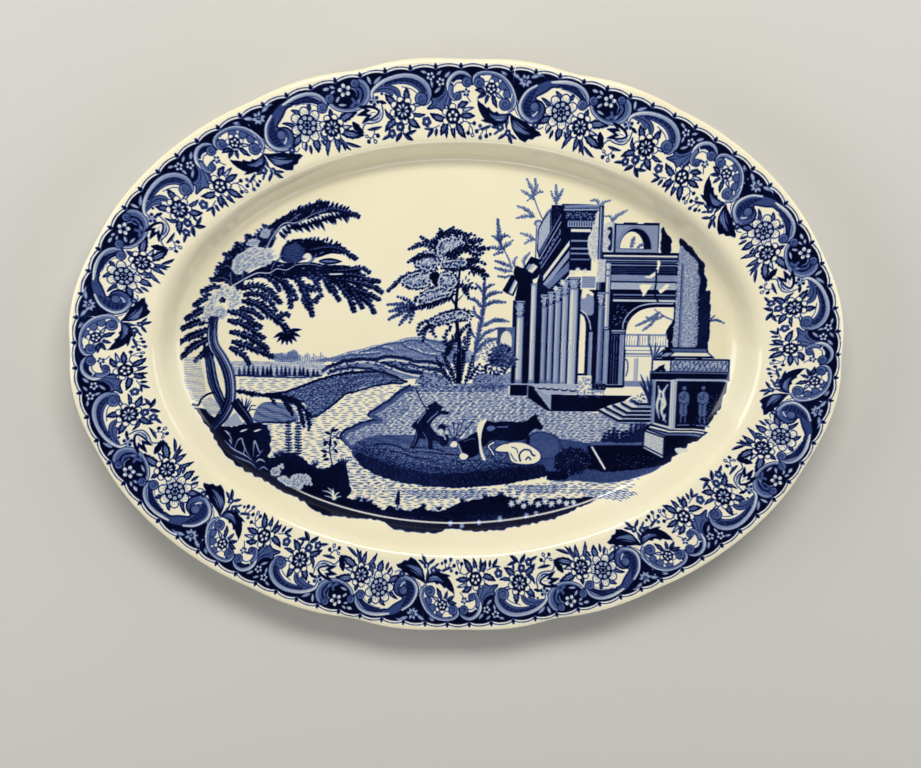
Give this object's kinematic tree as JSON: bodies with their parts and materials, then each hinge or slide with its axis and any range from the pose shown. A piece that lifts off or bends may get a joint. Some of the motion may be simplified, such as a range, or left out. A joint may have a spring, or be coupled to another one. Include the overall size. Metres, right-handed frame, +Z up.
{
  "type": "oval serving platter",
  "caption": "Oval glazed earthenware serving platter with a wide near-level rim, gently lobed rolled edge, shallow flat well and a recessed foot ring; blue printed decoration.",
  "frame": {"origin": "centre of the foot ring, in the plane the platter stands on", "axes": "+Z up out of the well, X along the long axis, +Y towards the top of the printed picture"},
  "size_m": [0.391, 0.2948, 0.028],
  "materials": {
    "glazed_china": "glossy"
  },
  "bodies": {
    "root": {"platter": "glazed_china"}
  },
  "joints": []
}
